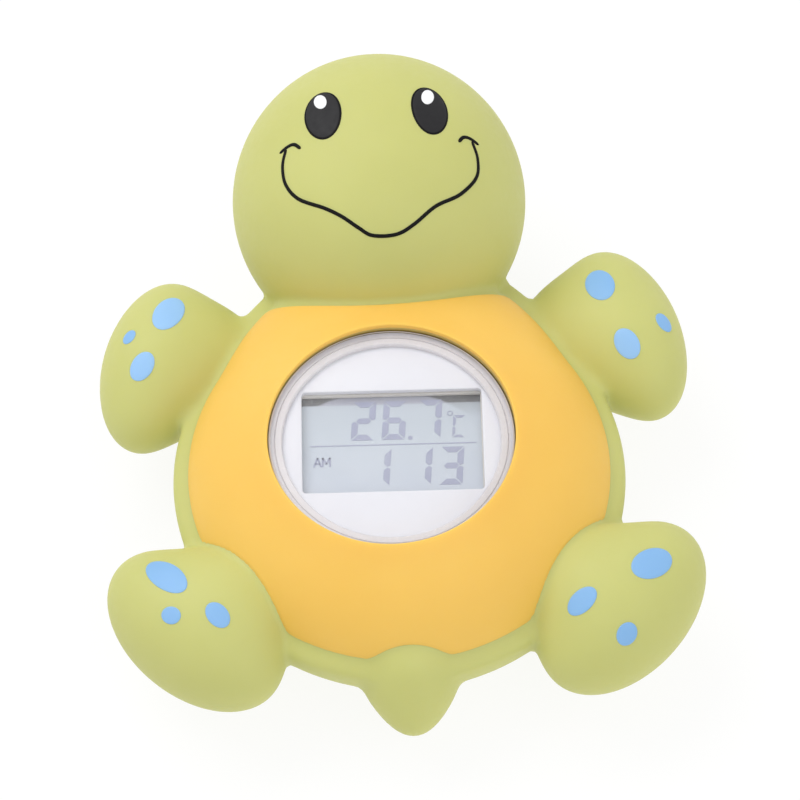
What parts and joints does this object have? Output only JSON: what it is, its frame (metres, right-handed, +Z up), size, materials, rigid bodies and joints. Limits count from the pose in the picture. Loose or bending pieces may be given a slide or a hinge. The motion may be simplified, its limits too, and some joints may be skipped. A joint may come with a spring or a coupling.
{
  "type": "floating bath thermometer",
  "caption": "Turtle-shaped floating bath and pool thermometer: hollow soft vinyl body around a round sealed digital module with a clear window.",
  "frame": {"origin": "under the middle of the whole object, on the surface that it stands on", "axes": "+Z up out of the clear cover, +Y from the tail towards the head, +X towards the turtle's side"},
  "size_m": [0.103, 0.1252, 0.049],
  "materials": {
    "soft_vinyl": "matte soft vinyl, yellow-green, with a painted yellow shell",
    "clear_plastic": "polished clear acrylic",
    "white_faceplate": "satin white printed plate",
    "white_casing": "moulded white ABS, semi-gloss",
    "lcd_film": "grey-green polariser film",
    "lcd_glass": "thin display glass",
    "zebra_rubber": "striped conductive elastomer",
    "button_rubber": "smooth grey rubber",
    "seal_rubber": "black sealing rubber",
    "board_laminate": "green solder mask over glass laminate",
    "black_epoxy": "black moulding compound",
    "ceramic": "tan ceramic chip",
    "cable_sheath": "grey ribbon sheath",
    "cell_case": "nickel-plated cell can, brushed",
    "plated_steel": "nickel-plated steel",
    "stainless_steel": "drawn stainless steel cup"
  },
  "bodies": {
    "turtle": {"turtle_skin": "soft_vinyl"},
    "module": {"clear_cover": "clear_plastic", "faceplate": "white_faceplate", "lcd_frame": "white_faceplate", "lcd_front_polariser": "lcd_film", "lcd_front_glass": "lcd_glass", "lcd_rear_glass": "lcd_glass", "lcd_reflector": "lcd_film", "zebra_strip_upper": "zebra_rubber", "zebra_strip_lower": "zebra_rubber", "circuit_board": "board_laminate", "chip_cover": "black_epoxy", "quartz_crystal": "plated_steel", "capacitor_left": "ceramic", "capacitor_right": "ceramic", "resistor": "black_epoxy", "thermistor": "black_epoxy", "thermistor_cable": "cable_sheath", "sensor_cap": "stainless_steel", "sensor_seal": "seal_rubber", "base_shell": "white_casing", "main_seal": "seal_rubber", "battery_cell": "cell_case", "positive_contact": "plated_steel", "negative_contact": "plated_steel", "set_button_seal": "seal_rubber", "adjust_button_seal": "seal_rubber", "set_switch": "black_epoxy", "adjust_switch": "black_epoxy", "case_screw_1": "plated_steel", "case_screw_2": "plated_steel", "case_screw_3": "plated_steel", "case_screw_4": "plated_steel", "board_screw_1": "plated_steel", "board_screw_2": "plated_steel"},
    "door_seal": {"door_seal": "seal_rubber"},
    "battery_door": {"battery_door": "white_casing"},
    "set_button": {"set_button": "button_rubber"},
    "adjust_button": {"adjust_button": "button_rubber"}
  },
  "joints": [
    {"name": "module_slide", "type": "slide", "parent": "turtle", "child": "module", "axis": [0, 0, -1], "range_m": [0, 0.036]},
    {"name": "door_lift", "type": "slide", "parent": "module", "child": "door_seal", "axis": [0, 0, -1], "range_m": [0, 0.003]},
    {"name": "door_turn", "type": "hinge", "parent": "door_seal", "child": "battery_door", "pos_m": [-0.00115, -0.0175, 0], "axis": [0, 0, -1], "range_deg": [0, 540]},
    {"name": "set_press", "type": "slide", "parent": "module", "child": "set_button", "axis": [0, 0, 1], "range_m": [0, 0.0006], "stiffness_N_per_m": 2500},
    {"name": "adjust_press", "type": "slide", "parent": "module", "child": "adjust_button", "axis": [0, 0, 1], "range_m": [0, 0.0006], "stiffness_N_per_m": 2500}
  ],
  "couplings": [
    {"joint": "door_turn", "follows": "door_lift", "rad_per_m": 3141.5}
  ]
}
